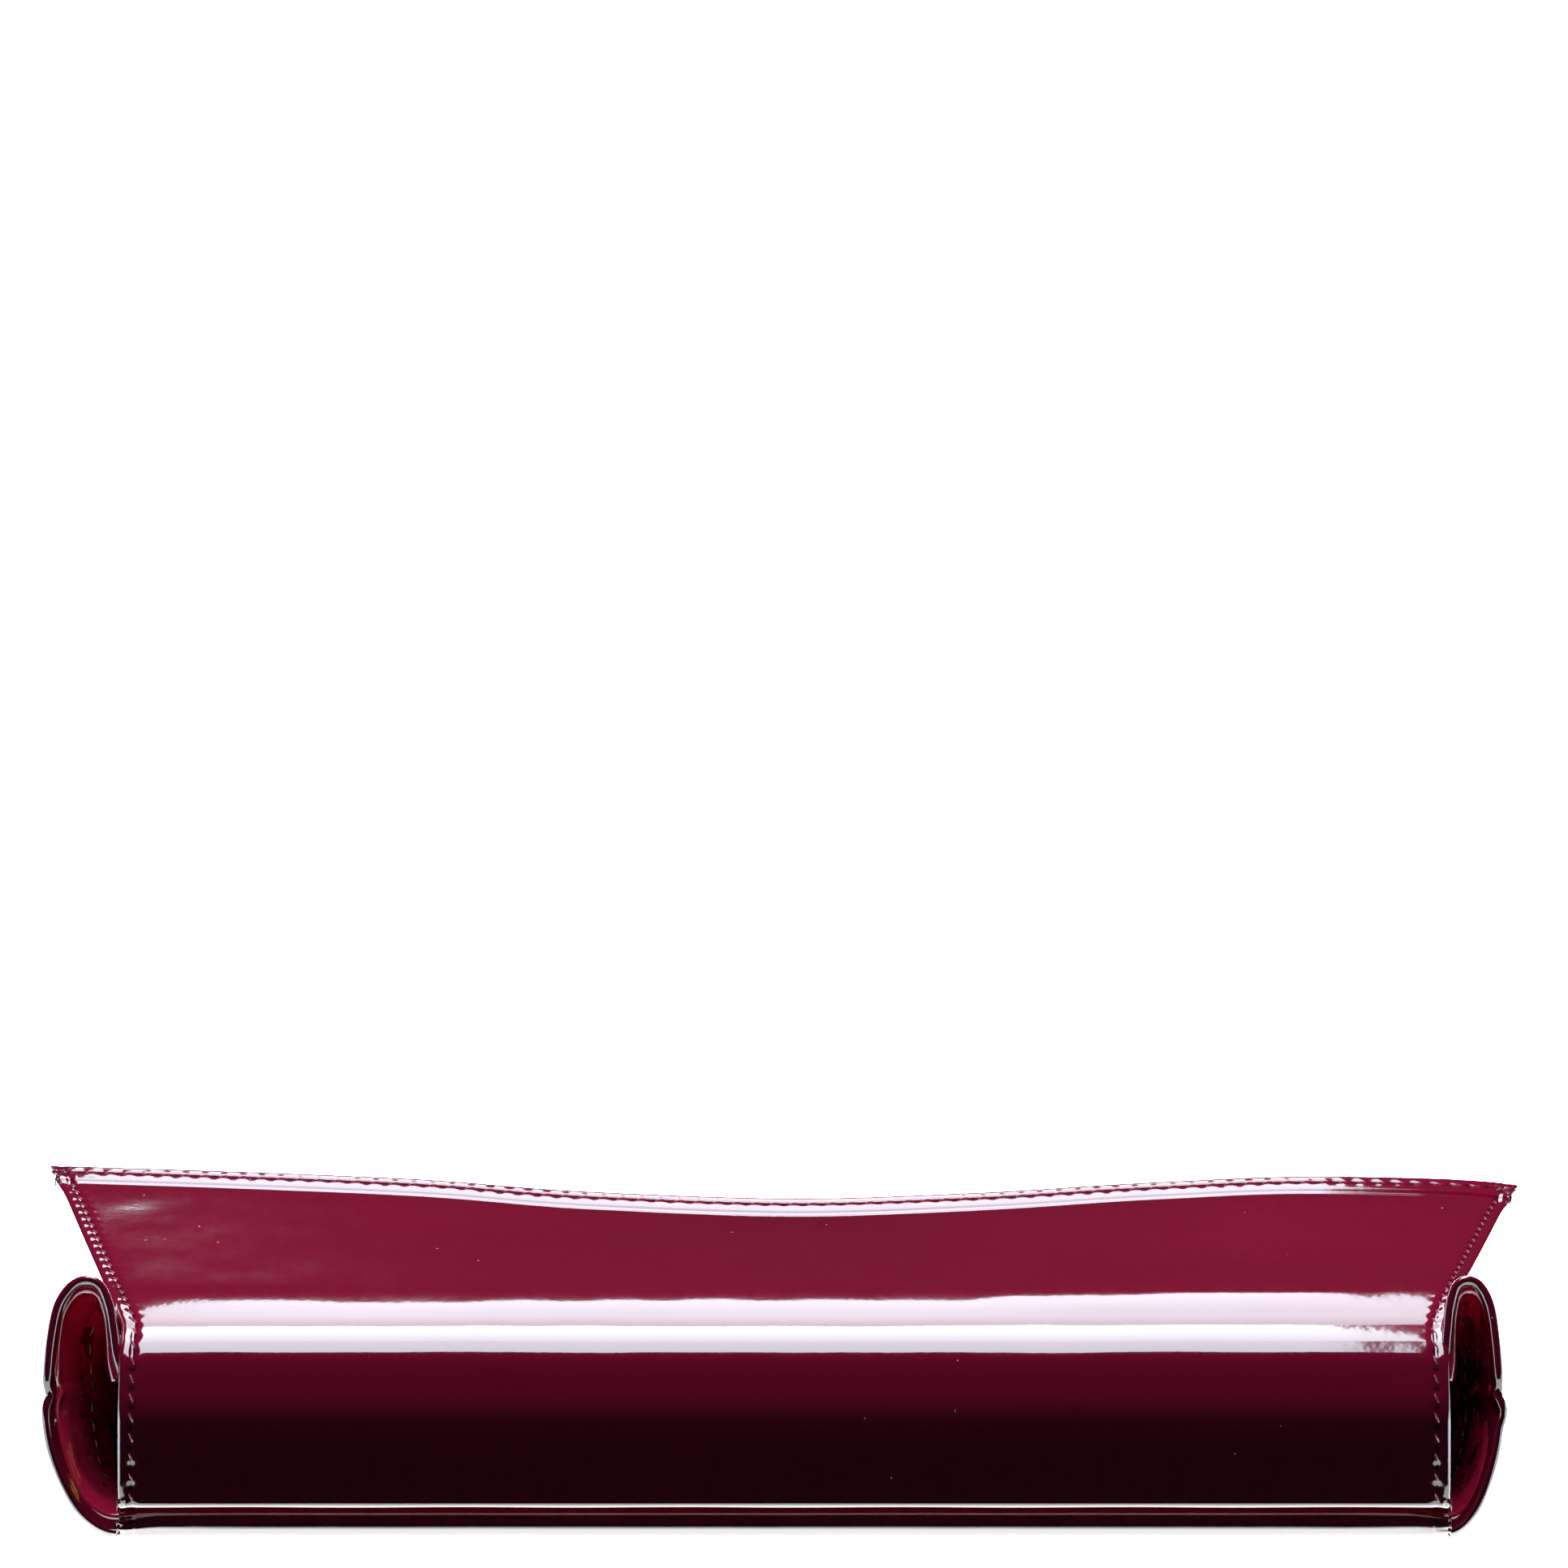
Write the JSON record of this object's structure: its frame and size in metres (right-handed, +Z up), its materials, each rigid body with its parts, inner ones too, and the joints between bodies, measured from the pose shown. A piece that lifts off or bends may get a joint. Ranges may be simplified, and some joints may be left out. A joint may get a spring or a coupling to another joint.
{
  "type": "long wallet",
  "caption": "Long patent-leather flap wallet lying on its back: gusseted pouch with card slots, a zipped coin pocket and a flap closed by a magnetic snap.",
  "frame": {"origin": "centre of the footprint on the surface that the back panel rests on", "axes": "+X along the fold that closes the mouth, +Y from that fold towards the bottom of the pouch, +Z up through the closed flap"},
  "size_m": [0.2082, 0.112, 0.0329],
  "materials": {
    "patent_leather": "glossy patent, burgundy",
    "gusset_leather": "glossy patent, dark burgundy",
    "slot_leather": "satin",
    "pocket_leather": "satin",
    "lining": "woven",
    "board": "matte fibre board",
    "piping": "braided cord",
    "zip_tape": "woven",
    "zip_metal": "polished",
    "snap_metal": "polished nickel"
  },
  "bodies": {
    "pouch_back": {"back_lining": "lining", "back_panel": "patent_leather", "back_stiffener": "board", "card_slot_left_1": "slot_leather", "card_slot_left_2": "slot_leather", "card_slot_left_3": "slot_leather", "card_slot_left_4": "slot_leather", "card_slot_right_1": "slot_leather", "card_slot_right_2": "slot_leather", "card_slot_right_3": "slot_leather", "card_slot_right_4": "slot_leather", "gusset_inner_left": "gusset_leather", "gusset_inner_right": "gusset_leather", "gusset_outer_left": "patent_leather", "gusset_outer_right": "patent_leather", "lip_piping_core": "piping"},
    "flap": {"flap_leather": "patent_leather", "flap_stiffener": "board", "flap_lining": "lining", "snap_stud": "snap_metal", "snap_stud_washer": "snap_metal"},
    "flap_neck": {"neck_leather": "patent_leather", "neck_lining": "lining"},
    "pouch_front": {"front_panel": "patent_leather", "front_stiffener": "board", "front_lining": "lining", "snap_socket": "snap_metal", "snap_socket_washer": "snap_metal"},
    "coin_divider": {"coin_pocket": "pocket_leather", "zip_tape_lower": "zip_tape", "zip_tape_upper": "zip_tape", "zip_chain": "zip_metal", "zip_stop_left": "zip_metal", "zip_stop_right": "zip_metal"},
    "slider": {"zip_slider": "zip_metal", "zip_bail": "zip_metal"},
    "pull": {"zip_pull": "zip_metal"}
  },
  "joints": [
    {"name": "flap_hinge", "type": "hinge", "parent": "pouch_back", "child": "flap_neck", "pos_m": [0, -0.0552, 0.005], "axis": [1, 0, 0], "range_deg": [0, 102]},
    {"name": "flap_roll", "type": "hinge", "parent": "flap_neck", "child": "flap", "pos_m": [0, -0.0454, 0.0256], "axis": [1, 0, 0], "range_deg": [0, 82]},
    {"name": "mouth_open", "type": "hinge", "parent": "pouch_back", "child": "pouch_front", "pos_m": [0, 0.04985, 0.012], "axis": [-1, 0, 0], "range_deg": [0, 12], "deforming": ["gusset_inner_left", "gusset_inner_right", "gusset_outer_left", "gusset_outer_right"]},
    {"name": "divider_tilt", "type": "hinge", "parent": "pouch_back", "child": "coin_divider", "pos_m": [0, 0.04, 0.0075], "axis": [-1, 0, 0], "range_deg": [0, 6]},
    {"name": "zip_slide", "type": "slide", "parent": "coin_divider", "child": "slider", "axis": [1, 0, 0], "range_m": [0, 0.138]},
    {"name": "pull_swing", "type": "hinge", "parent": "slider", "child": "pull", "pos_m": [-0.07325, -0.0353, 0.0105], "axis": [0, 0, -1], "range_deg": [0, 170]}
  ],
  "couplings": [
    {"joint": "flap_roll", "follows": "flap_hinge", "ratio": 0.8},
    {"joint": "mouth_open", "follows": "flap_hinge", "ratio": 0.1176},
    {"joint": "divider_tilt", "follows": "flap_hinge", "ratio": 0.0588}
  ]
}
